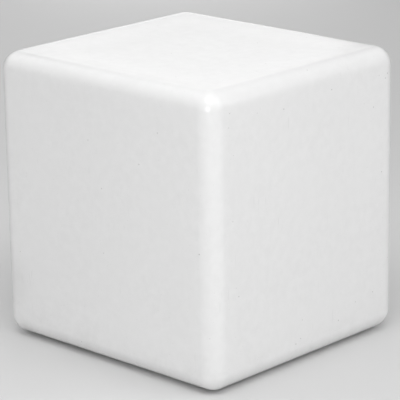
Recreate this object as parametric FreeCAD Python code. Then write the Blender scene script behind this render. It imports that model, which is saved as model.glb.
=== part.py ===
"""Rotomoulded display plinth: a hollow white polyethylene cube on four levelling feet.

The origin is on the floor under the middle of the plinth, with +Z up. The -Y face is the
front and the +X face is the right side. All lengths are in millimetres.
"""
import FreeCAD, Part
import math
import os

V = FreeCAD.Vector
UP = V(0, 0, 1)

# Moulded body: overall size, edge rounding and wall
WIDTH = 400.0
DEPTH = 375.0
HEIGHT = 405.0
EDGE_RADIUS = 25.0
WALL = 4.0
FLOOR_GAP = 3.0

# The top sinks a little inside its rim, as the moulding shrinks when it cools
DISH_DEPTH = 2.5
DISH_SLOPE_RUN = 50.0
DISH_CORNER = 12.0

# The underside is open inside a rebated rim, and the base plate closes it, flush
REBATE_MARGIN = 29.0
REBATE_DEPTH = 5.5
REBATE_CORNER = 12.0
RIM_WIDTH = 17.0
OPENING_CORNER = 5.0
PLATE_CLEARANCE = 1.0
PLATE_THICKNESS = 4.0
GASKET_THICKNESS = 1.5

# Recesses moulded in the base plate: one for the hatch and a pocket for each foot
RECESS_CEILING = 20.0
RECESS_RADIUS = 80.0
RECESS_DRAFT = 4.0
POCKET_CEILING = 25.0
POCKET_RADIUS = 30.0
POCKET_DRAFT = 2.0
RIM_ROUND = 2.0

# Threads are plain cylinders, and a thread that turns has this radial clearance
RUNNING = 0.05
FREE_GAP = 0.2

# Solids that are joined overlap by JOIN, and cutting solids run past a face by PAST
JOIN = 0.5
PAST = 1.0
TOLERANCE = 1e-4

# Levelling feet: an M8 ball-ended spindle in a nylon pad with a rubber sole
FOOT_INSET = 85.0
SOLE_RADIUS = 18.0
SOLE_THICKNESS = 3.0
SOLE_ROUND = 0.6
PAD_RADIUS = 20.0
PAD_SKIRT_BOTTOM = 1.5
PAD_RIM_TOP = 6.5
PAD_TOP = 14.0
PAD_ROUND = 1.5
PAD_NECK_RADIUS = 9.0
PAD_NECK_SPREAD = 3.5
BALL_RADIUS = 5.95
BALL_HEIGHT = 10.5
SPINDLE_NECK_RADIUS = 3.4
SPINDLE_RADIUS = 4.0
SPINDLE_HEX_BOTTOM = 15.5
SPINDLE_HEX_TOP = 19.5
SPINDLE_TOP = 45.0
SPINDLE_TIP_CHAMFER = 1.0
M8_ACROSS_FLATS = 13.0
NUT_HEIGHT = 5.0
HEX_CHAMFER = 0.8

# Moulded-in brass inserts: M8 for the feet and M5 for the base screws
M8_INSERT_RADIUS = 7.0
M8_INSERT_LENGTH = 24.0
M8_BOSS_RADIUS = 13.0
M5_INSERT_RADIUS = 4.5
M5_INSERT_LENGTH = 13.0
M5_BOSS_RADIUS = 8.0
INSERT_END_WALL = 2.0
BOSS_END_WALL = 4.0
GROOVE_DEPTH = 0.8
INSERT_BANDS = 7
GROOVED_BANDS = (2, 4)

# Countersunk M5 screws round the base plate
SCREW_RADIUS = 2.5
SCREW_HOLE_RADIUS = 2.75
SCREW_HEAD_RADIUS = 4.75
SCREW_LENGTH = 16.0
SOCKET_ACROSS_FLATS = 3.0
SOCKET_DEPTH = 2.2

# Ballast hatch: a mouth moulded in the base plate, a screw-in lid and its seal
MOUTH_RADIUS = 58.0
MOUTH_WALL = 4.0
MOUTH_TOP = 43.0
LID_FLANGE_RADIUS = 66.0
LID_FLANGE_THICKNESS = 4.1
LID_FLANGE_ROUND = 1.5
LID_BOTTOM = 15.0
LID_WALL = 3.95
LID_WEB_TOP = 39.0
LID_WEB_THICKNESS = 3.0
GRIP_WIDTH = 10.0
GRIP_BOTTOM = 17.0
GRIP_ROUND = 2.0
SEAL_RADIUS = 62.0
SEAL_SECTION_RADIUS = 1.6
GROOVE_HALF_WIDTH = 2.0
SEAL_GROOVE_DEPTH = 2.6

# Vent plug beside the lid, which lets the closed body breathe
VENT_OFFSET = 73.0
VENT_HEAD_RADIUS = 5.0
VENT_HEAD_HEIGHT = 2.2
VENT_HEAD_ROUND = 1.2
VENT_SHANK_RADIUS = 3.5
VENT_BARB_RADIUS = 4.2
VENT_BARB_TIP_RADIUS = 2.9
VENT_BARB_LENGTH = 5.0

REBATE_X = WIDTH / 2 - REBATE_MARGIN
REBATE_Y = DEPTH / 2 - REBATE_MARGIN
REBATE_TOP = FLOOR_GAP + REBATE_DEPTH
FOOT_X = WIDTH / 2 - FOOT_INSET
FOOT_Y = DEPTH / 2 - FOOT_INSET
FEET = {
    "front_left": (-FOOT_X, -FOOT_Y),
    "front_right": (FOOT_X, -FOOT_Y),
    "rear_left": (-FOOT_X, FOOT_Y),
    "rear_right": (FOOT_X, FOOT_Y),
}
SCREW_X = REBATE_X - RIM_WIDTH / 2
SCREW_Y = REBATE_Y - RIM_WIDTH / 2
SCREWS = [(x, y) for x in (-SCREW_X, 0.0, SCREW_X) for y in (-SCREW_Y, 0.0, SCREW_Y) if x or y]


def cylinder(radius, bottom, top, x=0.0, y=0.0):
    return Part.makeCylinder(radius, top - bottom, V(x, y, bottom), UP)


def tube(outer, inner, bottom, top, x=0.0, y=0.0):
    return cylinder(outer, bottom, top, x, y).cut(cylinder(inner, bottom, top, x, y))


def cone(bottom_radius, top_radius, bottom, top, x=0.0, y=0.0):
    return Part.makeCone(bottom_radius, top_radius, top - bottom, V(x, y, bottom), UP)


def hex_prism(across_flats, bottom, top, x=0.0, y=0.0):
    corner = across_flats / math.sqrt(3)
    points = [
        V(x + corner * math.cos(math.radians(a)), y + corner * math.sin(math.radians(a)), bottom)
        for a in range(0, 361, 60)
    ]
    return Part.Face(Part.makePolygon(points)).extrude(V(0, 0, top - bottom))


def chamfered_hex(across_flats, bottom, top, x=0.0, y=0.0):
    """A spanner hexagon with its corners turned down at both ends."""
    corner = across_flats / math.sqrt(3)
    blank = cylinder(corner, bottom, top, x, y)
    blank = blank.makeChamfer(HEX_CHAMFER, blank.Edges)
    return hex_prism(across_flats, bottom, top, x, y).common(blank)


def inner_rims(shape, height):
    """The closed edges of a shape that lie flat at the given height."""
    return [
        e for e in shape.Edges
        if e.isClosed() and abs(e.BoundBox.ZMin - height) < TOLERANCE
        and abs(e.BoundBox.ZMax - height) < TOLERANCE
    ]


def rounded_box(shrink):
    """The body's outline, moved inwards by shrink."""
    box = Part.makeBox(
        WIDTH - 2 * shrink, DEPTH - 2 * shrink, HEIGHT - FLOOR_GAP - 2 * shrink,
        V(-WIDTH / 2 + shrink, -DEPTH / 2 + shrink, FLOOR_GAP + shrink))
    return box.makeFillet(EDGE_RADIUS - shrink, box.Edges)


def rounded_rectangle(half_x, half_y, corner, height):
    """A closed wire with arc corners, centred on the Z axis."""
    edges = []
    for turn in range(4):
        quarter = math.radians(90 * turn)
        cos, sin = round(math.cos(quarter)), round(math.sin(quarter))
        reach_x, reach_y = (half_x, half_y) if turn % 2 == 0 else (half_y, half_x)

        def place(x, y):
            return V(x * cos - y * sin, x * sin + y * cos, height)

        start = place(reach_x, reach_y - corner)
        diagonal = corner * (1 - math.sqrt(0.5))
        middle = place(reach_x - diagonal, reach_y - diagonal)
        end = place(reach_x - corner, reach_y)
        edges.append(Part.makeLine(place(reach_x, corner - reach_y), start))
        edges.append(Part.Arc(start, middle, end).toShape())
    return Part.Wire(edges)


def rounded_block(half_x, half_y, corner, bottom, top):
    face = Part.Face(rounded_rectangle(half_x, half_y, corner, bottom))
    return face.extrude(V(0, 0, top - bottom))


def rim_block(inset, bottom, top):
    """A block inside the rebate's outline, moved inwards by inset."""
    corner = max(REBATE_CORNER - inset, OPENING_CORNER)
    return rounded_block(REBATE_X - inset, REBATE_Y - inset, corner, bottom, top)


def dish(rim_height):
    """The shallow space above the sunken top: sloping borders around a flat middle."""
    rim_x = WIDTH / 2 - EDGE_RADIUS
    rim_y = DEPTH / 2 - EDGE_RADIUS
    floor = rounded_rectangle(
        rim_x - DISH_SLOPE_RUN, rim_y - DISH_SLOPE_RUN, DISH_CORNER, rim_height - DISH_DEPTH)
    rim = rounded_rectangle(rim_x, rim_y, DISH_CORNER, rim_height)
    return Part.makeLoft([floor, rim], True, True)


def hatch_recess(grow):
    """The drafted round recess that takes the hatch lid."""
    return cone(
        RECESS_RADIUS + RECESS_DRAFT + grow, RECESS_RADIUS + grow,
        FLOOR_GAP, RECESS_CEILING + grow)


def foot_pocket(x, y, grow):
    return cone(
        POCKET_RADIUS + POCKET_DRAFT + grow, POCKET_RADIUS + grow,
        FLOOR_GAP, POCKET_CEILING + grow, x, y)


def insert_blank(radius, length, bottom, x, y):
    """A moulded-in insert before drilling, with two grooves that the plastic grips."""
    blank = cylinder(radius, bottom, bottom + length, x, y)
    band = length / INSERT_BANDS
    for number in GROOVED_BANDS:
        start = bottom + number * band
        groove = tube(radius + PAST, radius - GROOVE_DEPTH, start, start + band, x, y)
        blank = blank.cut(groove)
    return blank


def drilled_insert(radius, length, bore, bottom, x, y):
    """A blind brass insert, closed at the end inside the body."""
    hole = cylinder(bore, bottom, bottom + length - INSERT_END_WALL, x, y)
    return insert_blank(radius, length, bottom, x, y).cut(hole)


def body_shell():
    """The one-piece hollow body, open below inside a rebated rim with screw bosses."""
    hollow = rounded_box(WALL).cut(dish(HEIGHT).translated(V(0, 0, -WALL)))
    hollow = hollow.cut(rim_block(-WALL, FLOOR_GAP, REBATE_TOP + WALL))
    for x, y in SCREWS:
        boss_top = REBATE_TOP + M5_INSERT_LENGTH + BOSS_END_WALL
        hollow = hollow.cut(cylinder(M5_BOSS_RADIUS, REBATE_TOP, boss_top, x, y))
    body = rounded_box(0).cut(dish(HEIGHT)).cut(hollow)
    body = body.cut(rim_block(0, 0, REBATE_TOP))
    body = body.cut(rim_block(RIM_WIDTH, 0, REBATE_TOP + WALL + PAST))
    for x, y in SCREWS:
        body = body.cut(insert_blank(M5_INSERT_RADIUS, M5_INSERT_LENGTH, REBATE_TOP, x, y))
    return body


def base_plate():
    """The moulded plate that closes the underside and carries the feet and the hatch."""
    plate_top = FLOOR_GAP + PLATE_THICKNESS
    plate = rim_block(PLATE_CLEARANCE, FLOOR_GAP, plate_top)
    solids = [hatch_recess(WALL), cylinder(MOUTH_RADIUS + MOUTH_WALL, RECESS_CEILING, MOUTH_TOP)]
    for x, y in FEET.values():
        boss_top = POCKET_CEILING + M8_INSERT_LENGTH + BOSS_END_WALL
        solids.append(foot_pocket(x, y, WALL))
        solids.append(cylinder(M8_BOSS_RADIUS, POCKET_CEILING, boss_top, x, y))
    plate = plate.fuse(solids).removeSplitter().cut(hatch_recess(0))
    for x, y in FEET.values():
        plate = plate.cut(foot_pocket(x, y, 0))
    plate = plate.makeFillet(RIM_ROUND, inner_rims(plate, FLOOR_GAP))
    plate = plate.cut(cylinder(MOUTH_RADIUS, 0, MOUTH_TOP + PAST))
    plate = plate.cut(cylinder(VENT_SHANK_RADIUS, 0, MOUTH_TOP, 0, VENT_OFFSET))
    for x, y in FEET.values():
        plate = plate.cut(insert_blank(M8_INSERT_RADIUS, M8_INSERT_LENGTH, POCKET_CEILING, x, y))
    for x, y in SCREWS:
        plate = plate.cut(cylinder(SCREW_HOLE_RADIUS, 0, plate_top, x, y))
        plate = plate.cut(countersink(SCREW_HOLE_RADIUS, x, y))
    return plate


def countersink(shank_radius, x, y):
    """A 90 degree cone from the head's rim, level with the plate, down to the shank."""
    depth = SCREW_HEAD_RADIUS - shank_radius
    return cone(SCREW_HEAD_RADIUS, shank_radius, FLOOR_GAP, FLOOR_GAP + depth, x, y)


def base_gasket():
    """The flat seal between the base plate and the body's rim."""
    bottom = FLOOR_GAP + PLATE_THICKNESS
    top = bottom + GASKET_THICKNESS
    gasket = rim_block(PLATE_CLEARANCE, bottom, top).cut(rim_block(RIM_WIDTH, bottom, top))
    for x, y in SCREWS:
        gasket = gasket.cut(cylinder(SCREW_HOLE_RADIUS, bottom, top, x, y))
    return gasket


def base_screws():
    """M5 countersunk screws with hexagon sockets, flush with the plate."""
    screws = []
    for x, y in SCREWS:
        shank = cylinder(SCREW_RADIUS, FLOOR_GAP, FLOOR_GAP + SCREW_LENGTH, x, y)
        socket = hex_prism(SOCKET_ACROSS_FLATS, FLOOR_GAP, FLOOR_GAP + SOCKET_DEPTH, x, y)
        screws.append(countersink(SCREW_RADIUS, x, y).fuse(shank).removeSplitter().cut(socket))
    return screws


def foot_inserts():
    return [
        drilled_insert(M8_INSERT_RADIUS, M8_INSERT_LENGTH, SPINDLE_RADIUS + RUNNING,
                       POCKET_CEILING, x, y)
        for x, y in FEET.values()
    ]


def base_inserts():
    return [
        drilled_insert(M5_INSERT_RADIUS, M5_INSERT_LENGTH, SCREW_RADIUS + RUNNING,
                       REBATE_TOP, x, y)
        for x, y in SCREWS
    ]


def foot_sole(x, y):
    """The rubber disc that stands on the floor, set into the pad's skirt."""
    sole = cylinder(SOLE_RADIUS, 0, SOLE_THICKNESS, x, y)
    ground_edge = [e for e in sole.Edges if e.BoundBox.ZMax < TOLERANCE]
    return sole.makeFillet(SOLE_ROUND, ground_edge)


def foot_pad(x, y):
    """A nylon disc with a raised neck that snaps round the spindle's ball."""
    disc = cylinder(PAD_RADIUS, PAD_SKIRT_BOTTOM, PAD_RIM_TOP, x, y)
    top_edge = [e for e in disc.Edges if e.BoundBox.ZMin > PAD_RIM_TOP - TOLERANCE]
    disc = disc.makeFillet(PAD_ROUND, top_edge)
    neck = cone(
        PAD_NECK_RADIUS + PAD_NECK_SPREAD, PAD_NECK_RADIUS, PAD_RIM_TOP - JOIN, PAD_TOP, x, y)
    socket = Part.makeSphere(BALL_RADIUS + RUNNING, V(x, y, BALL_HEIGHT))
    seat = cylinder(SOLE_RADIUS, PAD_SKIRT_BOTTOM, SOLE_THICKNESS, x, y)
    return disc.fuse(neck).removeSplitter().cut(socket).cut(seat)


def foot_spindle(x, y):
    """The M8 stud with a spanner hexagon and a ball that sits in the pad."""
    ball = Part.makeSphere(BALL_RADIUS, V(x, y, BALL_HEIGHT))
    neck = cylinder(SPINDLE_NECK_RADIUS, BALL_HEIGHT, SPINDLE_HEX_BOTTOM + JOIN, x, y)
    hexagon = chamfered_hex(M8_ACROSS_FLATS, SPINDLE_HEX_BOTTOM, SPINDLE_HEX_TOP, x, y)
    stud = cylinder(SPINDLE_RADIUS, SPINDLE_HEX_TOP - JOIN, SPINDLE_TOP, x, y)
    tip = [e for e in stud.Edges if e.BoundBox.ZMin > SPINDLE_TOP - TOLERANCE]
    stud = stud.makeChamfer(SPINDLE_TIP_CHAMFER, tip)
    return ball.fuse([neck, hexagon, stud]).removeSplitter()


def foot_nut(x, y):
    """The thin nut that locks a levelled spindle against its insert."""
    top = POCKET_CEILING - FREE_GAP
    nut = chamfered_hex(M8_ACROSS_FLATS, top - NUT_HEIGHT, top, x, y)
    return nut.cut(cylinder(SPINDLE_RADIUS, top - NUT_HEIGHT, top, x, y))


def hatch_lid():
    """A screw-in cup with a hand grip across it, flush inside the recess."""
    flange_top = LID_BOTTOM + LID_FLANGE_THICKNESS
    skirt_radius = MOUTH_RADIUS - RUNNING
    flange = cylinder(LID_FLANGE_RADIUS, LID_BOTTOM, flange_top)
    lower_edge = [e for e in flange.Edges if e.BoundBox.ZMax < LID_BOTTOM + TOLERANCE]
    flange = flange.makeFillet(LID_FLANGE_ROUND, lower_edge)
    skirt = cylinder(skirt_radius, flange_top - JOIN, LID_WEB_TOP)
    hollow = cylinder(skirt_radius - LID_WALL, LID_BOTTOM - PAST, LID_WEB_TOP - LID_WEB_THICKNESS)
    groove = tube(
        SEAL_RADIUS + GROOVE_HALF_WIDTH, SEAL_RADIUS - GROOVE_HALF_WIDTH,
        flange_top - SEAL_GROOVE_DEPTH, flange_top)
    cup = flange.fuse(skirt).removeSplitter().cut(hollow).cut(groove)

    reach = skirt_radius - LID_WALL / 2
    grip = Part.makeBox(
        2 * reach, GRIP_WIDTH, LID_WEB_TOP - LID_WEB_THICKNESS / 2 - GRIP_BOTTOM,
        V(-reach, -GRIP_WIDTH / 2, GRIP_BOTTOM))
    finger_edges = [
        e for e in grip.Edges
        if e.BoundBox.ZMax < GRIP_BOTTOM + TOLERANCE and e.BoundBox.XLength > reach
    ]
    return cup.fuse(grip.makeFillet(GRIP_ROUND, finger_edges)).removeSplitter()


def lid_o_ring():
    flange_top = LID_BOTTOM + LID_FLANGE_THICKNESS
    centre = flange_top - SEAL_GROOVE_DEPTH + RUNNING + SEAL_SECTION_RADIUS
    return Part.makeTorus(SEAL_RADIUS, SEAL_SECTION_RADIUS, V(0, 0, centre), UP)


def vent_plug():
    """A push-in plug: round head below the ceiling, barbed shank through the wall."""
    head = cylinder(
        VENT_HEAD_RADIUS, RECESS_CEILING - VENT_HEAD_HEIGHT, RECESS_CEILING, 0, VENT_OFFSET)
    lower_edge = [e for e in head.Edges if e.BoundBox.ZMax < RECESS_CEILING - TOLERANCE]
    head = head.makeFillet(VENT_HEAD_ROUND, lower_edge)
    barb_bottom = RECESS_CEILING + WALL
    shank = cylinder(VENT_SHANK_RADIUS, RECESS_CEILING - JOIN, barb_bottom + JOIN, 0, VENT_OFFSET)
    barb = cone(
        VENT_BARB_RADIUS, VENT_BARB_TIP_RADIUS, barb_bottom, barb_bottom + VENT_BARB_LENGTH,
        0, VENT_OFFSET)
    return head.fuse([shank, barb]).removeSplitter()


def write(node, solids):
    shape = solids if isinstance(solids, Part.Shape) else Part.makeCompound(solids)
    if not shape.isValid() or len(shape.Solids) == 0:
        raise ValueError(node + " is not a valid closed solid")
    shape.exportStep(os.path.join("parts", node + ".step"))


os.makedirs("parts", exist_ok=True)
write("body_shell", body_shell())
write("base_plate", base_plate())
write("base_gasket", base_gasket())
write("base_screws", base_screws())
write("base_inserts", base_inserts())
write("foot_inserts", foot_inserts())
write("hatch_lid", hatch_lid())
write("lid_o_ring", lid_o_ring())
write("vent_plug", vent_plug())
for corner_name, (foot_x, foot_y) in FEET.items():
    write("foot_sole_" + corner_name, foot_sole(foot_x, foot_y))
    write("foot_pad_" + corner_name, foot_pad(foot_x, foot_y))
    write("foot_spindle_" + corner_name, foot_spindle(foot_x, foot_y))
    write("foot_nut_" + corner_name, foot_nut(foot_x, foot_y))
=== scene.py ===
"""Looks of a rotomoulded display plinth: a white polyethylene cube on four levelling feet."""

import math

import bmesh
import bpy
from mathutils import Matrix, Vector

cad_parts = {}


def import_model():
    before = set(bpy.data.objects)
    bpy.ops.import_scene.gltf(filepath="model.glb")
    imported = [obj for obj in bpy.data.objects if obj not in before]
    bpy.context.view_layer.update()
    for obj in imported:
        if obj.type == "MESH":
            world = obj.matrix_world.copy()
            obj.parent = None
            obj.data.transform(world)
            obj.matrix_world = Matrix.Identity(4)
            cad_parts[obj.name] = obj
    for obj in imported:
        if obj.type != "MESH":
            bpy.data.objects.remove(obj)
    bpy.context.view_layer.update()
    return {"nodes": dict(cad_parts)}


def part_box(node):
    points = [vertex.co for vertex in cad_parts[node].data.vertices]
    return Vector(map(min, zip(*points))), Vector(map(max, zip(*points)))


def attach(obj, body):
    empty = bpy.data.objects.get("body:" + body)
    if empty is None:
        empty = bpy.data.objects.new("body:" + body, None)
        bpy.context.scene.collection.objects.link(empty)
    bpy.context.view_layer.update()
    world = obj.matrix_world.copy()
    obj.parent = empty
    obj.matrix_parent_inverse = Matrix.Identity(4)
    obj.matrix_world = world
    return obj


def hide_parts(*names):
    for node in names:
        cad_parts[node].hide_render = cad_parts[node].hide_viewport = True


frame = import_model()
MM = 0.001
JOIN = 0.5 * MM     # how far two shapes that become one run into each other
PAST = 1 * MM       # how far a cutting shape runs past the face it cuts
WELD = 1e-7         # corners nearer than this, in metres, are one
SEAM_WELD = 1e-6    # the same where the six sides of a rounded box meet
SHARP_ANGLE = math.radians(35)
SMALL_ROUND_SEGMENTS = 48
CORNER_STEPS = 10
CORNERS = ("front_left", "front_right", "rear_left", "rear_right")

# ---- the moulded body, in metres, from the frame's boxes ----
shell_low, shell_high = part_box("body_shell")
plate_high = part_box("base_plate")[1]
gasket_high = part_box("base_gasket")[1]
insert_low, insert_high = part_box("base_inserts")
screw_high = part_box("base_screws")[1]
CENTRE = (shell_low + shell_high) / 2
HALF = (shell_high - shell_low) / 2
EDGE_RADIUS = 25 * MM
WALL = 4 * MM
TOP_SINK = 2.5 * MM
TOP_SINK_RUN = 74 * MM
RIM_LAND = 2 * MM
SIDE_SINK = 1.3 * MM
SIDE_SINK_RUN = 100 * MM
FLAT_NORMAL = 0.999     # a wall's normal lies this near an axis where the wall is flat
KNOCK_DEPTH = 3.5 * MM
KNOCK_FLATNESS = 0.92   # 1 would cut the knocked corner off dead flat
SKIN_STEPS = (44, 12)   # mesh steps along each flat and round each edge
HOLLOW_STEPS = (20, 6)

# The rim that the base plate sits in, and the bosses for its screws
PLATE_CLEARANCE = 1 * MM
RIM_WIDTH = 17 * MM
REBATE_HALF = (plate_high.x + PLATE_CLEARANCE, plate_high.y + PLATE_CLEARANCE)
REBATE_CORNER = 12 * MM
OPENING_CORNER = 5 * MM
INSERT_RADIUS = 4.5 * MM
BOSS_RADIUS = 8 * MM
BOSS_END_WALL = 4 * MM
SCREW_HEAD_RADIUS = 4.75 * MM
SCREW_X = screw_high.x - SCREW_HEAD_RADIUS
SCREW_Y = screw_high.y - SCREW_HEAD_RADIUS

# The feet
BALL_RADIUS = 5.95 * MM
BALL_HEIGHT = 10.5 * MM
SOCKET_GAP = 0.05 * MM
M8_RADIUS = 4 * MM
M8_PITCH = 1.25 * MM
M8_ACROSS_FLATS = 13 * MM
HEX_BOTTOM = 15.5 * MM
HEX_TOP = 19.5 * MM
HEX_CHAMFER = math.radians(30)
SPINDLE_NECK = 3.4 * MM
SPINDLE_TIP_CHAMFER = 1 * MM
M8_THREAD_DEPTH = 0.72 * MM
NUT_COUNTERSINK = 0.5 * MM
SOLE_HUB = 4 * MM
SOLE_ROUND = 0.6 * MM
SOLE_GROOVE = 0.9 * MM
SOLE_RINGS = (5 * MM, 11 * MM)      # where the round grooves start
SOLE_RING_WIDTH = 1.6 * MM
SOLE_RING_SLOPE = 0.4 * MM
SOLE_RING_SPACING = 5 * MM          # from a groove's start to the end of the land beside it
SOLE_SPOKES = 8
SOLE_SPOKE_REACH = (7 * MM, 16.5 * MM)
SOLE_SPOKE_HALF_ANGLE = math.radians(2.2)
PAD_RIM_TOP = 6.5 * MM
PAD_RIM_ROUND = 1.5 * MM
PAD_RIM_CHAMFER = 0.3 * MM
PAD_NECK = 9 * MM
PAD_NECK_SPREAD = 4 * MM
PAD_NECK_BEVEL = (1.4 * MM, 0.5 * MM)
PAD_NECK_ROUND = 0.8 * MM
PAD_FLUTES = 32
PAD_FLUTE_DEPTH = 0.55 * MM
PAD_FLUTE_REACH = 1.2 * MM
PAD_FLUTE_START = 0.2 * MM
PAD_GUSSETS = 8
GUSSET_HALF = 0.8 * MM
GUSSET_REACH = (7.5 * MM, 17.5 * MM)
GUSSET_DROP = 1.6 * MM              # its inner end lies this far below the top of the neck
GUSSET_END = 0.5 * MM               # its outer end stands this far above the rim

# The hatch lid
LID_SKIRT_RADIUS = 57.95 * MM
LID_WALL = 3.95 * MM
LID_FLANGE_THICKNESS = 4.1 * MM
LID_WEB = 3 * MM
LID_PITCH = 4 * MM
LID_THREAD_DEPTH = 1.3 * MM
SEAL_RADIUS = 62 * MM
SEAL_GROOVE_HALF = 2 * MM
SEAL_GROOVE_DEPTH = 2.6 * MM
LID_RIM_ROUND = 1.5 * MM
LID_RIM_CHAMFER = 0.4 * MM
LID_SCALLOPS = 24
LID_SCALLOP_DEPTH = 1.1 * MM
LID_SCALLOP_MARGIN = 0.5 * MM
LID_MOUTH_CHAMFER = 1.2 * MM
LID_CUP_ROUND = 2 * MM
GRIP_HALF_WIDTH = 5 * MM
GRIP_BOTTOM = 17 * MM
GRIP_ROUND = 2 * MM
GRIP_WAIST = 0.26        # share of its width that the grip loses in the middle
GRIP_WAIST_REACH = 0.62  # share of its length that narrows


# ---- mesh helpers ----
def new_object(name, mesh):
    obj = bpy.data.objects.new(name, mesh)
    bpy.context.scene.collection.objects.link(obj)
    return obj


def smooth(mesh):
    """Smooth shading, with edges kept crisp above an angle."""
    bm = bmesh.new()
    bm.from_mesh(mesh)
    bmesh.ops.remove_doubles(bm, verts=bm.verts, dist=WELD)
    bmesh.ops.recalc_face_normals(bm, faces=bm.faces)
    for face in bm.faces:
        face.smooth = True
    for edge in bm.edges:
        edge.smooth = len(edge.link_faces) == 2 and edge.calc_face_angle(0) < SHARP_ANGLE
    bm.to_mesh(mesh)
    bm.free()


def object_from(bm, name):
    """Turns a bmesh into a smooth-shaded object and frees it."""
    mesh = bpy.data.meshes.new(name)
    bmesh.ops.recalc_face_normals(bm, faces=bm.faces)
    bm.to_mesh(mesh)
    bm.free()
    smooth(mesh)
    return new_object(name, mesh)


def boolean(target, tools, operation="DIFFERENCE"):
    """Applies each tool to the target's mesh and removes the tools."""
    for tool in tools:
        modifier = target.modifiers.new("cut", "BOOLEAN")
        modifier.object, modifier.operation, modifier.solver = tool, operation, "EXACT"
        depsgraph = bpy.context.evaluated_depsgraph_get()
        mesh = bpy.data.meshes.new_from_object(target.evaluated_get(depsgraph))
        target.modifiers.clear()
        target.data = mesh
        bpy.data.objects.remove(tool)
    smooth(target.data)
    return target


def stops(half, radius, flat_steps, round_steps):
    """Places along one side of a rounded box: even on the flat, closer round the edges."""
    core = half - radius
    arc = [radius * math.tan(math.radians(45) * i / round_steps) for i in range(1, round_steps + 1)]
    flat = [core * (2 * i / flat_steps - 1) for i in range(flat_steps + 1)]
    return [-core - a for a in reversed(arc)] + flat + [core + a for a in arc]


def rounded_box_mesh(half, radius, flat_steps, round_steps):
    """A closed quad mesh of a box with every edge and corner rounded, centred on the origin."""
    bm = bmesh.new()
    core = Vector([h - radius for h in half])
    for axis in range(3):
        across, up = (axis + 1) % 3, (axis + 2) % 3
        us = stops(half[across], radius, flat_steps, round_steps)
        vs = stops(half[up], radius, flat_steps, round_steps)
        for side in (-1, 1):
            rows = []
            for u in us:
                row = []
                for v in vs:
                    p = Vector((0, 0, 0))
                    p[axis], p[across], p[up] = side * half[axis], u, v
                    inner = Vector([max(-c, min(c, x)) for c, x in zip(core, p)])
                    row.append(bm.verts.new(inner + (p - inner).normalized() * radius))
                rows.append(row)
            for a, b in zip(rows, rows[1:]):
                for i in range(len(a) - 1):
                    bm.faces.new((a[i], a[i + 1], b[i + 1], b[i]))
    bmesh.ops.remove_doubles(bm, verts=bm.verts, dist=SEAM_WELD)
    bmesh.ops.recalc_face_normals(bm, faces=bm.faces)
    return bm


def lathe(profile, segments, ripple=None):
    """A solid of revolution about Z from (radius, height) points; ripple(radius, height, angle)
    may move a point in or out and up or down."""
    bm = bmesh.new()
    rings = []
    for radius, height in profile:
        if radius < WELD:
            rings.append([bm.verts.new((0, 0, height))])
            continue
        ring = []
        for i in range(segments):
            angle = 2 * math.pi * i / segments
            r, z = ripple(radius, height, angle) if ripple else (radius, height)
            ring.append(bm.verts.new((r * math.cos(angle), r * math.sin(angle), z)))
        rings.append(ring)
    for low, high in zip(rings, rings[1:]):
        for i in range(segments):
            j = (i + 1) % segments
            if len(low) == 1 and len(high) == 1:
                continue
            if len(low) == 1:
                bm.faces.new((low[0], high[j], high[i]))
            elif len(high) == 1:
                bm.faces.new((low[i], low[j], high[0]))
            else:
                bm.faces.new((low[i], low[j], high[j], high[i]))
    return bm


def arc_points(centre, radius, start, end, steps):
    """Points (radius, height) on an arc, with its angles in degrees."""
    turn = [math.radians(start + (end - start) * i / steps) for i in range(steps + 1)]
    return [(centre[0] + radius * math.cos(a), centre[1] + radius * math.sin(a)) for a in turn]


def cylinder(name, radius, bottom, top, at):
    """An upright cylinder about a place (x, y)."""
    bm = lathe([(0, bottom), (radius, bottom), (radius, top), (0, top)], SMALL_ROUND_SEGMENTS)
    bmesh.ops.translate(bm, verts=bm.verts, vec=(at[0], at[1], 0))
    return object_from(bm, name)


def prism(name, outline, bottom, top):
    """A straight solid on a closed outline of (x, y) points."""
    bm = bmesh.new()
    low = [bm.verts.new((x, y, bottom)) for x, y in outline]
    high = [bm.verts.new((x, y, top)) for x, y in outline]
    bm.faces.new(reversed(low))
    bm.faces.new(high)
    for i in range(len(outline)):
        j = (i + 1) % len(outline)
        bm.faces.new((low[i], low[j], high[j], high[i]))
    return object_from(bm, name)


def rounded_outline(half_x, half_y, corner):
    """The points of a rectangle with round corners, centred on the origin."""
    points = []
    for turn, (sx, sy) in enumerate(((1, 1), (-1, 1), (-1, -1), (1, -1))):
        centre = (sx * (half_x - corner), sy * (half_y - corner))
        points += arc_points(centre, corner, 90 * turn, 90 * turn + 90, CORNER_STEPS)
    return points


def hexagon(across_flats):
    reach = across_flats / math.sqrt(3)
    return [(reach * math.cos(math.radians(a)), reach * math.sin(math.radians(a))) for a in range(0, 360, 60)]


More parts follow.
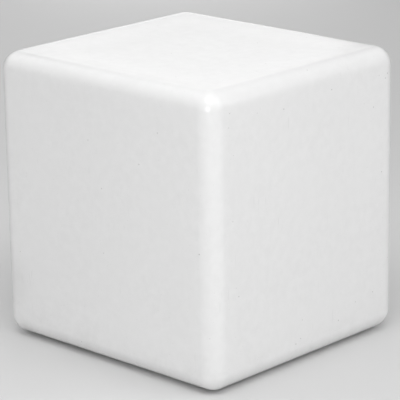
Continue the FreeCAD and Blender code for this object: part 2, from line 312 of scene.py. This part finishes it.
def threaded_rod(name, radius, depth, pitch, bottom, top, segments, profile):
    """A rod with a real helical thread. profile lists (share of a pitch, share of the depth)."""
    bm = bmesh.new()
    angles = [2 * math.pi * i / segments for i in range(segments)]
    turns = math.ceil((top - bottom) / pitch) + 3
    rows = []
    for turn in range(turns):
        for share, height in profile:
            rows.append((bottom + (turn - 2 + share) * pitch, radius - depth * (1 - height)))
    grid = []
    for z, r in rows:
        grid.append([bm.verts.new((r * math.cos(a), r * math.sin(a), z + pitch * i / segments))
                     for i, a in enumerate(angles)])
    step = len(profile)
    for k in range(len(grid) - 1):
        for i in range(segments - 1):
            bm.faces.new((grid[k][i], grid[k][i + 1], grid[k + 1][i + 1], grid[k + 1][i]))
        if k + step + 1 < len(grid):
            bm.faces.new((grid[k][-1], grid[k + step][0], grid[k + step + 1][0], grid[k + 1][-1]))
    for height, normal in ((bottom, (0, 0, -1)), (top, (0, 0, 1))):
        cut = bmesh.ops.bisect_plane(
            bm, geom=bm.verts[:] + bm.edges[:] + bm.faces[:], plane_co=(0, 0, height), plane_no=normal,
            clear_outer=True)
        edges = [e for e in cut["geom_cut"] if isinstance(e, bmesh.types.BMEdge)]
        bmesh.ops.edgeloop_fill(bm, edges=edges)
    bmesh.ops.remove_doubles(bm, verts=bm.verts, dist=WELD)
    return object_from(bm, name)


def placed_copy(source, name, at, body, node):
    """A copy of a piece made on the Z axis, moved to its foot, in place of that foot's CAD node."""
    obj = new_object(name, source.data.copy())
    obj.data.transform(Matrix.Translation((at[0], at[1], 0)))
    stand_in(obj, body, node)
    return obj


def stand_in(obj, body, node):
    """Makes a piece ride on a body and replace a CAD node."""
    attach(obj, body)
    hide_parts(node)


def foot_centre(corner):
    low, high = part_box("foot_sole_" + corner)
    return ((low.x + high.x) / 2, (low.y + high.y) / 2)


# ---- the moulded body ----
def sink(distance, run):
    """How far a wall has drawn in, from 0 at its rim to 1 past the run, steepest a third of the way."""
    t = max(0.0, min(1.0, distance / run))
    return 1 - (1 - t) ** 3 * (1 + 3 * t)


def sunken(p, normal):
    """Moves a point of the body inwards where a wall has sunk between its edges."""
    for axis in range(3):
        if abs(normal[axis]) < FLAT_NORMAL or (axis == 2 and p.z < 0):
            continue
        depth, run = (TOP_SINK, TOP_SINK_RUN) if axis == 2 else (SIDE_SINK, SIDE_SINK_RUN)
        for other in range(3):
            if other != axis:
                depth *= sink(HALF[other] - EDGE_RADIUS - RIM_LAND - abs(p[other]), run)
        p[axis] -= math.copysign(depth, normal[axis])


def knocked(p):
    """Flattens the low rear right corner, where the moulding has been knocked."""
    outwards = Vector((1, 1, -1)).normalized()
    core = Vector([h - EDGE_RADIUS for h in HALF])
    limit = outwards.dot(Vector((core.x, core.y, -core.z))) + EDGE_RADIUS - KNOCK_DEPTH
    beyond = outwards.dot(p) - limit
    if beyond > 0:
        p -= outwards * beyond * KNOCK_FLATNESS


def moulded_box(shrink, flat_steps, round_steps):
    """The body's form with its sunken walls, drawn in by a thickness, where the body stands."""
    half = Vector([h - shrink for h in HALF])
    bm = rounded_box_mesh(half, EDGE_RADIUS - shrink, flat_steps, round_steps)
    bm.normal_update()
    for vert in bm.verts:
        sunken(vert.co, vert.normal.copy())
        if shrink == 0:
            knocked(vert.co)
        vert.co += CENTRE
    return bm


def rim_prism(name, inset, bottom, top):
    """An upright block on the outline of the rebate, drawn in by an inset."""
    corner = max(REBATE_CORNER - inset, OPENING_CORNER)
    outline = rounded_outline(REBATE_HALF[0] - inset, REBATE_HALF[1] - inset, corner)
    return prism(name, outline, bottom, top)


def body_skin():
    """The hollow body: sunken walls outside and in, and a rebated rim with screw bosses below."""
    rebate_top = gasket_high.z
    screws = [(x, y) for x in (-SCREW_X, 0, SCREW_X) for y in (-SCREW_Y, 0, SCREW_Y) if x or y]
    hollow = object_from(moulded_box(WALL, *HOLLOW_STEPS), "hollow")
    boss_top = insert_high.z + BOSS_END_WALL
    boolean(hollow, [rim_prism("rim", -WALL, 0, rebate_top + WALL)])
    boolean(hollow, [cylinder("boss", BOSS_RADIUS, rebate_top, boss_top, at) for at in screws])
    skin = object_from(moulded_box(0, *SKIN_STEPS), "shell_skin")
    cuts = [hollow, rim_prism("rebate", 0, 0, rebate_top), rim_prism("opening", RIM_WIDTH, 0, boss_top)]
    cuts += [cylinder("insert", INSERT_RADIUS, insert_low.z - PAST, insert_high.z, at) for at in screws]
    return boolean(skin, cuts)


skin = body_skin()
stand_in(skin, "shell", "body_shell")


# ---- the feet ----
def foot_sole():
    """The rubber disc, with two round grooves and eight straight ones in its tread."""
    low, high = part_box("foot_sole_front_left")
    radius = (high.x - low.x) / 2
    profile = [(0, 0), (SOLE_HUB, 0)]
    for start in SOLE_RINGS:
        end = start + SOLE_RING_WIDTH
        profile += [(start, 0), (start + SOLE_RING_SLOPE, SOLE_GROOVE), (end - SOLE_RING_SLOPE, SOLE_GROOVE),
                    (end, 0), (start + SOLE_RING_SPACING, 0)]
    profile += arc_points((radius - SOLE_ROUND, SOLE_ROUND), SOLE_ROUND, 270, 360, steps=4)
    profile += [(radius, high.z), (0, high.z)]
    spoke_start, spoke_end = SOLE_SPOKE_REACH
    between = 2 * math.pi / SOLE_SPOKES

    def tread(r, z, angle):
        across = abs((angle + between / 2) % between - between / 2)
        in_groove = z < WELD and spoke_start < r < spoke_end and across < SOLE_SPOKE_HALF_ANGLE
        return r, SOLE_GROOVE if in_groove else z

    return object_from(lathe(profile, segments=192, ripple=tread), "sole")


def gusset(top, angle):
    """One rib of the pad, a thin plate that slopes from high on the neck down to the rim."""
    rib = prism("gusset", [(-GUSSET_HALF, 0), (GUSSET_HALF, 0), (GUSSET_HALF, 1), (-GUSSET_HALF, 1)], 0, 1)
    inner, outer = GUSSET_REACH
    foot = PAD_RIM_TOP - 2 * JOIN
    points = {(0, 0): (inner, foot), (1, 0): (outer, foot), (0, 1): (inner, top),
              (1, 1): (outer, PAD_RIM_TOP + GUSSET_END)}
    for vert in rib.data.vertices:
        r, z = points[(round(vert.co.y), round(vert.co.z))]
        vert.co = (r, vert.co.x, z)
    rib.data.transform(Matrix.Rotation(angle, 4, "Z"))
    return rib


def foot_pad():
    """The nylon disc: a fluted rim, eight gussets and a socket that holds the ball."""
    low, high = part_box("foot_pad_front_left")
    sole_low, sole_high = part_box("foot_sole_front_left")
    radius, seat = (high.x - low.x) / 2, (sole_high.x - sole_low.x) / 2
    socket = BALL_RADIUS + SOCKET_GAP
    mouth = math.degrees(math.asin((high.z - BALL_HEIGHT) / socket))
    profile = [(0, sole_high.z), (seat, sole_high.z), (seat, low.z)]
    profile += [(radius - PAD_RIM_CHAMFER, low.z), (radius, low.z + PAD_RIM_CHAMFER)]
    rim_centre = (radius - PAD_RIM_ROUND, PAD_RIM_TOP - PAD_RIM_ROUND)
    profile += arc_points(rim_centre, PAD_RIM_ROUND, 0, 90, steps=6)
    profile += [(PAD_NECK + PAD_NECK_SPREAD, PAD_RIM_TOP),
                (PAD_NECK + PAD_NECK_SPREAD - PAD_NECK_BEVEL[0], PAD_RIM_TOP + PAD_NECK_BEVEL[1])]
    neck_centre = (PAD_NECK - PAD_NECK_ROUND, high.z - PAD_NECK_ROUND)
    profile += arc_points(neck_centre, PAD_NECK_ROUND, 10, 90, steps=5)
    profile += arc_points((0, BALL_HEIGHT), socket, mouth, -90, steps=16)

    def flutes(r, z, angle):
        if r < radius - PAD_FLUTE_REACH or z < low.z + PAD_FLUTE_START:
            return r, z
        return r - PAD_FLUTE_DEPTH * max(0.0, math.cos(PAD_FLUTES * angle)) ** 2, z

    pad = object_from(lathe(profile, segments=256, ripple=flutes), "pad")
    for turn in range(PAD_GUSSETS):
        rib = gusset(high.z - GUSSET_DROP, math.radians(360 / PAD_GUSSETS * (turn + 0.5)))
        boolean(pad, [rib], "UNION")
    return pad


def chamfered_hexagon(name, bottom, top):
    """A spanner hexagon with its corners turned down at both ends."""
    reach = M8_ACROSS_FLATS / math.sqrt(3)
    fall = (reach - M8_ACROSS_FLATS / 2) * math.tan(HEX_CHAMFER)
    profile = [(0, bottom), (M8_ACROSS_FLATS / 2, bottom), (reach, bottom + fall), (reach, top - fall),
               (M8_ACROSS_FLATS / 2, top), (0, top)]
    hexagonal = prism(name, hexagon(M8_ACROSS_FLATS), bottom, top)
    return boolean(hexagonal, [object_from(lathe(profile, segments=96), "turned")], "INTERSECT")


# Thread forms: (share of a pitch, share of the thread's depth)
V_THREAD = ((0.0, 0.0), (0.18, 0.0), (0.49, 1.0), (0.62, 1.0), (0.93, 0.0))


def foot_spindle():
    """The M8 stud: a ball, a turned neck, a spanner hexagon and a real thread."""
    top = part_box("foot_spindle_front_left")[1].z
    leave = math.degrees(math.asin(SPINDLE_NECK / BALL_RADIUS))
    profile = arc_points((0, BALL_HEIGHT), BALL_RADIUS, -90, 90 - leave, steps=24)
    profile += [(SPINDLE_NECK, HEX_BOTTOM + JOIN), (0, HEX_BOTTOM + JOIN)]
    spindle = object_from(lathe(profile, segments=64), "spindle")
    boolean(spindle, [chamfered_hexagon("hexagon", HEX_BOTTOM, HEX_TOP)], "UNION")
    stud = threaded_rod("stud", M8_RADIUS, M8_THREAD_DEPTH, M8_PITCH, HEX_TOP - JOIN, top,
                        SMALL_ROUND_SEGMENTS, V_THREAD)
    wide, narrow = M8_RADIUS + SPINDLE_TIP_CHAMFER, M8_RADIUS - SPINDLE_TIP_CHAMFER
    tip = [(0, 0), (wide, 0), (wide, top - 2 * SPINDLE_TIP_CHAMFER), (narrow, top), (0, top)]
    boolean(stud, [object_from(lathe(tip, SMALL_ROUND_SEGMENTS), "tip")], "INTERSECT")
    return boolean(spindle, [stud], "UNION")


def foot_nut():
    """The thin lock nut, with its bore countersunk at both faces."""
    low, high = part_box("foot_nut_front_left")
    nut = chamfered_hexagon("nut", low.z, high.z)
    flare = M8_RADIUS + NUT_COUNTERSINK + PAST
    profile = [(0, low.z - PAST), (flare, low.z - PAST), (M8_RADIUS, low.z + NUT_COUNTERSINK),
               (M8_RADIUS, high.z - NUT_COUNTERSINK), (flare, high.z + PAST), (0, high.z + PAST)]
    return boolean(nut, [object_from(lathe(profile, SMALL_ROUND_SEGMENTS), "bore")])


# What makes each part, the body it rides on and its material slot
feet_parts = {
    "foot_sole": (foot_sole(), "pad", "sole_rubber"),
    "foot_pad": (foot_pad(), "pad", "pad_nylon"),
    "foot_spindle": (foot_spindle(), "spindle", "zinc_steel"),
    "foot_nut": (foot_nut(), "spindle", "zinc_steel"),
}
feet_pieces = {}
for part, (source, body, slot_name) in feet_parts.items():
    for corner in CORNERS:
        name = "{}_{}_detail".format(part, corner)
        piece = placed_copy(source, name, foot_centre(corner), body + "_" + corner, part + "_" + corner)
        feet_pieces.setdefault(part, []).append(piece)
    bpy.data.objects.remove(source)


# ---- the hatch lid ----
TRAPEZOID_THREAD = ((0.0, 0.0), (0.34, 0.0), (0.44, 1.0), (0.82, 1.0), (0.92, 0.0))


def grip_bar(reach, bottom, top):
    """The hand grip: a rounded bar that narrows where the fingers go."""
    half = Vector((reach, GRIP_HALF_WIDTH, (top - bottom) / 2))
    bm = rounded_box_mesh(half, GRIP_ROUND, flat_steps=48, round_steps=5)
    for vert in bm.verts:
        waist = max(0.0, 1 - (vert.co.x / (GRIP_WAIST_REACH * reach)) ** 2) ** 2
        vert.co.y *= 1 - GRIP_WAIST * waist
        vert.co.z += (top + bottom) / 2
    return object_from(bm, "grip")


def hatch_lid():
    """A threaded cup with a scalloped flange, a groove for its seal and a grip across it."""
    low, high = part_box("hatch_lid")
    flange_radius, flange_top = high.x, low.z + LID_FLANGE_THICKNESS
    inside = LID_SKIRT_RADIUS - LID_WALL
    web_bottom = high.z - LID_WEB
    groove_inner, groove_outer = SEAL_RADIUS - SEAL_GROOVE_HALF, SEAL_RADIUS + SEAL_GROOVE_HALF
    groove_bottom = flange_top - SEAL_GROOVE_DEPTH
    profile = [(0, low.z)]
    rim_centre = (flange_radius - LID_RIM_ROUND, low.z + LID_RIM_ROUND)
    profile += arc_points(rim_centre, LID_RIM_ROUND, 270, 360, steps=6)
    profile += [(flange_radius, flange_top - LID_RIM_CHAMFER), (flange_radius - LID_RIM_CHAMFER, flange_top)]
    profile += [(groove_outer, flange_top), (groove_outer, groove_bottom), (groove_inner, groove_bottom),
                (groove_inner, flange_top), (0, flange_top)]

    def scallops(r, z, angle):
        if r < groove_outer + LID_SCALLOP_MARGIN:
            return r, z
        return r - LID_SCALLOP_DEPTH * max(0.0, math.cos(LID_SCALLOPS * angle)) ** 3, z

    lid = object_from(lathe(profile, segments=384, ripple=scallops), "hatch_lid_detail")
    skirt = threaded_rod("skirt", LID_SKIRT_RADIUS, LID_THREAD_DEPTH, LID_PITCH, flange_top - JOIN,
                         high.z, segments=144, profile=TRAPEZOID_THREAD)
    boolean(lid, [skirt], "UNION")
    mouth = inside + LID_MOUTH_CHAMFER
    hollow = [(0, low.z - PAST), (mouth, low.z - PAST), (mouth, low.z), (inside, low.z + LID_MOUTH_CHAMFER)]
    cup_centre = (inside - LID_CUP_ROUND, web_bottom - LID_CUP_ROUND)
    hollow += arc_points(cup_centre, LID_CUP_ROUND, 0, 90, steps=6)
    hollow += [(0, web_bottom)]
    boolean(lid, [object_from(lathe(hollow, segments=144), "cup")])
    boolean(lid, [grip_bar(inside + LID_WALL / 3, GRIP_BOTTOM, web_bottom + LID_WEB / 2)], "UNION")
    return lid


lid = hatch_lid()
stand_in(lid, "lid", "hatch_lid")


# ---- materials ----
LOW_DUST_TOP = 70 * MM
SHADE_PATCH_X = -187 * MM        # painted shade, on the front wall, low and near its left end
SHADE_PATCH_HEIGHT = 82 * MM
SHADE_PATCH_SIZE = 55 * MM


def material(name, colour, roughness, metallic=0.0):
    """A Principled material; returns it with its node tree and shader node."""
    mat = bpy.data.materials.new(name)
    mat.use_nodes = True
    tree = mat.node_tree
    shader = tree.nodes["Principled BSDF"]
    shader.inputs["Base Color"].default_value = (*colour, 1)
    shader.inputs["Roughness"].default_value = roughness
    shader.inputs["Metallic"].default_value = metallic
    return mat, tree, shader


def object_place(tree, stretch=(1, 1, 1)):
    """Where a point is on the object at rest, in metres, stretched along its axes if asked."""
    place = tree.nodes.new("ShaderNodeTexCoord").outputs["Object"]
    if stretch == (1, 1, 1):
        return place
    node = tree.nodes.new("ShaderNodeMapping")
    node.inputs["Scale"].default_value = stretch
    tree.links.new(place, node.inputs["Vector"])
    return node.outputs["Vector"]


def noise(tree, place, scale, detail, roughness):
    """A cloudy pattern about 0.5; detail is how many finer layers, roughness how strong they are."""
    node = tree.nodes.new("ShaderNodeTexNoise")
    node.inputs["Scale"].default_value = scale
    node.inputs["Detail"].default_value = detail
    node.inputs["Roughness"].default_value = roughness
    tree.links.new(place, node.inputs["Vector"])
    return node.outputs["Fac"]


def ramp(tree, value, low, high, to_low=0.0, to_high=1.0):
    """A value brought smoothly from the range low to high into the range to_low to to_high."""
    node = tree.nodes.new("ShaderNodeMapRange")
    node.interpolation_type = "SMOOTHSTEP"
    for socket, number in zip(("From Min", "From Max", "To Min", "To Max"), (low, high, to_low, to_high)):
        node.inputs[socket].default_value = number
    tree.links.new(value, node.inputs["Value"])
    return node.outputs["Result"]


def math_node(tree, operation, a, b=None):
    """One step of arithmetic; each input may be a socket or a number."""
    node = tree.nodes.new("ShaderNodeMath")
    node.operation = operation
    for socket, value in zip(node.inputs, (a, b)):
        if isinstance(value, (int, float)):
            socket.default_value = value
        elif value is not None:
            tree.links.new(value, socket)
    return node.outputs["Value"]


def mix(tree, factor, a, b):
    """Mixes two colours; each may be a socket or an RGB tuple."""
    node = tree.nodes.new("ShaderNodeMix")
    node.data_type = "RGBA"
    tree.links.new(factor, node.inputs["Factor"])
    for socket, value in ((node.inputs[6], a), (node.inputs[7], b)):
        if isinstance(value, tuple):
            socket.default_value = (*value, 1)
        else:
            tree.links.new(value, socket)
    return node.outputs[2]


def tint(tree, colour, mask, amount, towards):
    """Draws a colour towards another where a mask is 1, by the given amount at most."""
    return mix(tree, math_node(tree, "MULTIPLY", mask, amount), colour, towards)


def bump(tree, shader, height, distance, before=None):
    """Raises the surface by a height pattern, over an earlier bump if there is one."""
    node = tree.nodes.new("ShaderNodeBump")
    node.inputs["Distance"].default_value = distance
    tree.links.new(height, node.inputs["Height"])
    if before is not None:
        tree.links.new(before, node.inputs["Normal"])
    tree.links.new(node.outputs["Normal"], shader.inputs["Normal"])
    return node.outputs["Normal"]


def specks(tree, place, scale, radius, share):
    """Small round spots in the surface, in a given share of the cells of a Voronoi pattern."""
    node = tree.nodes.new("ShaderNodeTexVoronoi")
    node.inputs["Scale"].default_value = scale
    tree.links.new(place, node.inputs["Vector"])
    chosen = tree.nodes.new("ShaderNodeSeparateColor")
    tree.links.new(node.outputs["Color"], chosen.inputs["Color"])
    spot = ramp(tree, node.outputs["Distance"], radius * scale * 0.45, radius * scale, 1.0, 0.0)
    picked = math_node(tree, "LESS_THAN", chosen.outputs["Red"], share)
    return math_node(tree, "MULTIPLY", spot, picked)


def scratches(tree, scale, stretch):
    """Fine lines: a noise drawn out along one direction and cut off high."""
    return ramp(tree, noise(tree, object_place(tree, stretch), scale, 2, 0.6), 0.66, 0.72)


def near_edges(tree, place):
    """1 on the body's rounded edges, falling to 0 on its flat walls."""
    axes = tree.nodes.new("ShaderNodeSeparateXYZ")
    tree.links.new(place, axes.inputs["Vector"])
    closeness = []
    for axis in range(3):
        from_middle = math_node(tree, "SUBTRACT", axes.outputs[axis], CENTRE[axis])
        distance = math_node(tree, "ABSOLUTE", from_middle)
        closeness.append(ramp(tree, distance, HALF[axis] - EDGE_RADIUS, HALF[axis] - 0.25 * EDGE_RADIUS))
    pairs = [math_node(tree, "MULTIPLY", closeness[i], closeness[(i + 1) % 3]) for i in range(3)]
    return math_node(tree, "MAXIMUM", math_node(tree, "MAXIMUM", pairs[0], pairs[1]), pairs[2])


def shade_patch(tree, place, centre, size):
    """A soft round patch of painted shade about a point of the body."""
    node = tree.nodes.new("ShaderNodeVectorMath")
    node.operation = "DISTANCE"
    node.inputs[1].default_value = centre
    tree.links.new(place, node.inputs[0])
    return ramp(tree, node.outputs["Value"], 0.25 * size, size, 1.0, 0.0)


def polyethylene():
    """White rotomoulded polyethylene: satin, faintly mottled, with a few specks, pits and scuffs."""
    mat, tree, shader = material("white_polyethylene", (0.8, 0.8, 0.8), 0.25)
    place = object_place(tree)
    shader.inputs["IOR"].default_value = 1.5
    shader.inputs["Subsurface Weight"].default_value = 0.05
    shader.inputs["Subsurface Radius"].default_value = (WALL, WALL, WALL)
    mottle = ramp(tree, noise(tree, place, 70, 4, 0.6), 0.3, 0.7)
    colour = mix(tree, mottle, (0.785, 0.785, 0.785), (0.812, 0.812, 0.812))
    cloud = ramp(tree, noise(tree, place, 11, 2, 0.5), 0.35, 0.65)
    colour = tint(tree, colour, cloud, 0.5, (0.80, 0.80, 0.80))
    dust = math_node(tree, "MULTIPLY", ramp(tree, noise(tree, place, 45, 4, 0.7), 0.45, 0.75), 0.2)
    low_dirt = math_node(tree, "MULTIPLY", foot_of_walls(tree, place), dust)
    colour = mix(tree, low_dirt, colour, (0.56, 0.56, 0.555))
    # Painted shade: a soft darker patch low on the front wall, near its left end
    painted_shade_patch = shade_patch(tree, place, (SHADE_PATCH_X, shell_low.y, SHADE_PATCH_HEIGHT), SHADE_PATCH_SIZE)
    colour = tint(tree, colour, painted_shade_patch, 0.22, (0.6, 0.6, 0.6))
    marks = scratches(tree, 210, (1, 1, 0.12))
    wide = ramp(tree, noise(tree, place, 16, 1, 0.5), 0.55, 0.68)
    scuffs = math_node(tree, "MULTIPLY", marks, wide)
    colour = tint(tree, colour, scuffs, 0.35, (0.68, 0.68, 0.68))
    spots = specks(tree, place, 85, 1.2 * MM, 0.06)
    colour = tint(tree, colour, spots, 0.55, (0.25, 0.245, 0.24))
    pits = specks(tree, place, 150, 0.6 * MM, 0.22)
    colour = tint(tree, colour, pits, 0.4, (0.5, 0.5, 0.5))
    tree.links.new(colour, shader.inputs["Base Color"])
    satin = ramp(tree, noise(tree, place, 60, 3, 0.6), 0.3, 0.7, 0.235, 0.262)
    worn = math_node(tree, "MULTIPLY", near_edges(tree, place), 0.01)
    rubbed = math_node(tree, "ADD", worn, math_node(tree, "MULTIPLY", scuffs, 0.03))
    rough = math_node(tree, "SUBTRACT", satin, rubbed)
    tree.links.new(rough, shader.inputs["Roughness"])
    peel = bump(tree, shader, noise(tree, place, 420, 2, 0.5), 0.02 * MM)
    dents = bump(tree, shader, noise(tree, place, 22, 1, 0.4), 0.35 * MM, peel)
    bump(tree, shader, math_node(tree, "SUBTRACT", 1.0, pits), 0.2 * MM, dents)
    return mat


def foot_of_walls(tree, place):
    """1 at the bottom edge of the walls, falling to 0 where the low dust ends."""
    axes = tree.nodes.new("ShaderNodeSeparateXYZ")
    tree.links.new(place, axes.inputs["Vector"])
    return ramp(tree, axes.outputs["Z"], shell_low.z, LOW_DUST_TOP, 1.0, 0.0)


def moulded_plastic(name, dark, light, rough_low, rough_high, grain):
    """Injection-moulded plastic with a fine spark-eroded grain, flow marks and handling marks."""
    mat, tree, shader = material(name, light, rough_high)
    place = object_place(tree)
    flow = ramp(tree, noise(tree, object_place(tree, (1, 1, 0.4)), 24, 3, 0.6), 0.32, 0.68)
    colour = mix(tree, flow, dark, light)
    dusty = ramp(tree, noise(tree, place, 90, 4, 0.7), 0.56, 0.8)
    pale = tuple(min(1.0, c * 1.25 + 0.05) for c in light)
    colour = tint(tree, colour, dusty, 0.35, pale)
    lines = scratches(tree, 380, (1, 0.1, 1))
    colour = tint(tree, colour, lines, 0.3, pale)
    tree.links.new(colour, shader.inputs["Base Color"])
    rough = ramp(tree, noise(tree, place, 130, 3, 0.6), 0.3, 0.7, rough_low, rough_high)
    tree.links.new(rough, shader.inputs["Roughness"])
    fine = bump(tree, shader, noise(tree, place, grain, 2, 0.6), 0.06 * MM)
    bump(tree, shader, noise(tree, place, 40, 2, 0.5), 0.2 * MM, fine)
    return mat


def rubber(name, dark, light):
    """Black rubber, matt, with bloom and dust that gathers in patches."""
    mat, tree, shader = material(name, dark, 0.8)
    place = object_place(tree)
    shader.inputs["Specular IOR Level"].default_value = 0.35
    bloom = ramp(tree, noise(tree, place, 120, 5, 0.7), 0.42, 0.75)
    colour = mix(tree, bloom, dark, light)
    grit = specks(tree, place, 420, 0.4 * MM, 0.3)
    colour = tint(tree, colour, grit, 0.5, (0.24, 0.22, 0.2))
    tree.links.new(colour, shader.inputs["Base Color"])
    tree.links.new(ramp(tree, bloom, 0, 1, 0.66, 0.92), shader.inputs["Roughness"])
    bump(tree, shader, noise(tree, place, 900, 3, 0.6), 0.05 * MM)
    return mat


def plated_metal(name, dark, light, rough_low, rough_high, stain):
    """Machined and plated metal: tool marks round the axis, cloudy plating and rubbed flats."""
    mat, tree, shader = material(name, light, rough_low, 1.0)
    place = object_place(tree)
    cloud = ramp(tree, noise(tree, place, 150, 4, 0.6), 0.3, 0.7)
    colour = mix(tree, cloud, dark, light)
    warm = ramp(tree, noise(tree, place, 60, 2, 0.5), 0.5, 0.7)
    colour = tint(tree, colour, warm, 0.45, stain)
    tree.links.new(colour, shader.inputs["Base Color"])
    tool_marks = noise(tree, object_place(tree, (0.06, 0.06, 1)), 2600, 2, 0.5)
    tree.links.new(ramp(tree, tool_marks, 0.3, 0.7, rough_low, rough_high), shader.inputs["Roughness"])
    bump(tree, shader, tool_marks, 0.015 * MM)
    return mat


def paint(objects, mat):
    for obj in objects:
        obj.data.materials.clear()
        obj.data.materials.append(mat)


def paint_nodes(names, mat):
    paint([frame["nodes"][name] for name in names], mat)


zinc = plated_metal("zinc_plated_steel", (0.5, 0.51, 0.53), (0.68, 0.69, 0.71), 0.24, 0.42,
                    (0.66, 0.63, 0.52))
brass = plated_metal("machined_brass", (0.62, 0.46, 0.2), (0.8, 0.64, 0.34), 0.22, 0.4,
                     (0.5, 0.36, 0.18))
black_rubber = rubber("black_rubber", (0.018, 0.018, 0.018), (0.06, 0.058, 0.055))
seal = rubber("seal_rubber", (0.014, 0.014, 0.015), (0.035, 0.035, 0.035))
black_nylon = moulded_plastic("black_nylon", (0.022, 0.022, 0.023), (0.034, 0.034, 0.035), 0.42, 0.6, 1400)
grey_nylon = moulded_plastic("grey_nylon", (0.075, 0.075, 0.08), (0.1, 0.1, 0.105), 0.4, 0.56, 1100)
vent_black = moulded_plastic("vent_plastic", (0.02, 0.02, 0.02), (0.03, 0.03, 0.03), 0.36, 0.5, 1600)
pale_plastic = moulded_plastic("pale_grey_plastic", (0.5, 0.5, 0.49), (0.57, 0.57, 0.56), 0.42, 0.58, 800)

paint([skin], polyethylene())
paint([lid], grey_nylon)
paint(feet_pieces["foot_sole"], black_rubber)
paint(feet_pieces["foot_pad"], black_nylon)
paint(feet_pieces["foot_spindle"] + feet_pieces["foot_nut"], zinc)
paint_nodes(["base_plate"], pale_plastic)
paint_nodes(["base_gasket", "lid_o_ring"], seal)
paint_nodes(["base_screws"], zinc)
paint_nodes(["base_inserts", "foot_inserts"], brass)
paint_nodes(["vent_plug"], vent_black)


# ---- floor, light and camera ----
FLOOR_RADIUS = 12


def floor():
    """A wide pale grey disc that the plinth stands on."""
    bm = bmesh.new()
    bmesh.ops.create_circle(bm, cap_ends=True, segments=96, radius=FLOOR_RADIUS)
    disc = object_from(bm, "studio_floor")
    mat, _, shader = material("studio_floor", (0.66, 0.66, 0.66), 0.9)
    shader.inputs["Specular IOR Level"].default_value = 0.1
    disc.data.materials.append(mat)


def direction(azimuth, elevation):
    """The unit vector from the plinth towards a place; azimuth 0 is in front of the -Y face."""
    a, e = math.radians(azimuth), math.radians(elevation)
    return Vector((math.sin(a) * math.cos(e), -math.cos(a) * math.cos(e), math.sin(e)))


def softbox(name, azimuth, elevation, distance, size, power):
    """A square soft light that faces the middle of the body; angles in degrees, power in watts."""
    light = bpy.data.lights.new(name, "AREA")
    light.shape, light.size, light.energy = "SQUARE", size, power
    obj = bpy.data.objects.new(name, light)
    towards = direction(azimuth, elevation)
    obj.location = Vector((0, 0, HALF.z)) + towards * distance
    obj.rotation_mode = "QUATERNION"
    obj.rotation_quaternion = towards.to_track_quat("Z", "Y")
    bpy.context.scene.collection.objects.link(obj)


CAMERA_AZIMUTH = 43.55
CAMERA_ELEVATION = 16.47
CAMERA_ROLL = -0.9
CAMERA_DISTANCE = 3.072
CAMERA_LENS = 199.7     # with the sensor width, both in millimetres
SENSOR_WIDTH = 36
AIM = Vector((0.001, 0.001, 0.1897))


def camera():
    """The photo's view, found by fitting a rounded box to its outline."""
    data = bpy.data.cameras.new("camera")
    data.lens, data.sensor_width = CAMERA_LENS, SENSOR_WIDTH
    data.clip_start, data.clip_end = 0.05, 50
    obj = bpy.data.objects.new("camera", data)
    back = direction(CAMERA_AZIMUTH, CAMERA_ELEVATION)
    obj.location = AIM + back * CAMERA_DISTANCE
    obj.rotation_mode = "QUATERNION"
    roll = Matrix.Rotation(math.radians(CAMERA_ROLL), 4, "Z").to_quaternion()
    obj.rotation_quaternion = back.to_track_quat("Z", "Y") @ roll
    bpy.context.scene.collection.objects.link(obj)
    bpy.context.scene.camera = obj


def world(bands):
    """A grey sky whose brightness changes with height: (sine of the elevation, brightness)."""
    sky = bpy.data.worlds.new("studio")
    sky.use_nodes = True
    tree = sky.node_tree
    axes = tree.nodes.new("ShaderNodeSeparateXYZ")
    tree.links.new(tree.nodes.new("ShaderNodeTexCoord").outputs["Generated"], axes.inputs["Vector"])
    shades = tree.nodes.new("ShaderNodeValToRGB")
    tree.links.new(axes.outputs["Z"], shades.inputs["Fac"])
    shade_stops = shades.color_ramp.elements
    for position, brightness in bands:
        at_end = position in (0, 1)
        stop = shade_stops[0 if position == 0 else -1] if at_end else shade_stops.new(position)
        stop.color = (brightness, brightness, brightness, 1)
    tree.links.new(shades.outputs["Color"], tree.nodes["Background"].inputs["Color"])
    tree.nodes["Background"].inputs["Strength"].default_value = 1.0
    bpy.context.scene.world = sky


SKY = ((0.0, 0.04), (0.5, 0.04), (0.75, 0.82), (1.0, 0.04))

floor()
world(SKY)
softbox("overhead", 225, 88, 2.6, 2.0, 6)
softbox("front_low", 38, 12, 2.6, 0.9, 21.5)
softbox("front_high", 44, 60, 2.6, 1.6, 24)
softbox("right", 112, 30, 2.6, 1.6, 19.5)
softbox("left", -30, 30, 2.6, 1.6, 5.5)
softbox("left_back", -75, 40, 2.6, 2.0, 9.5)
softbox("back", 225, 30, 2.6, 1.2, 5.5)
softbox("back_low", 225, 5, 2.8, 0.9, 3.7)
camera()
bpy.context.scene.view_settings.view_transform = "Standard"
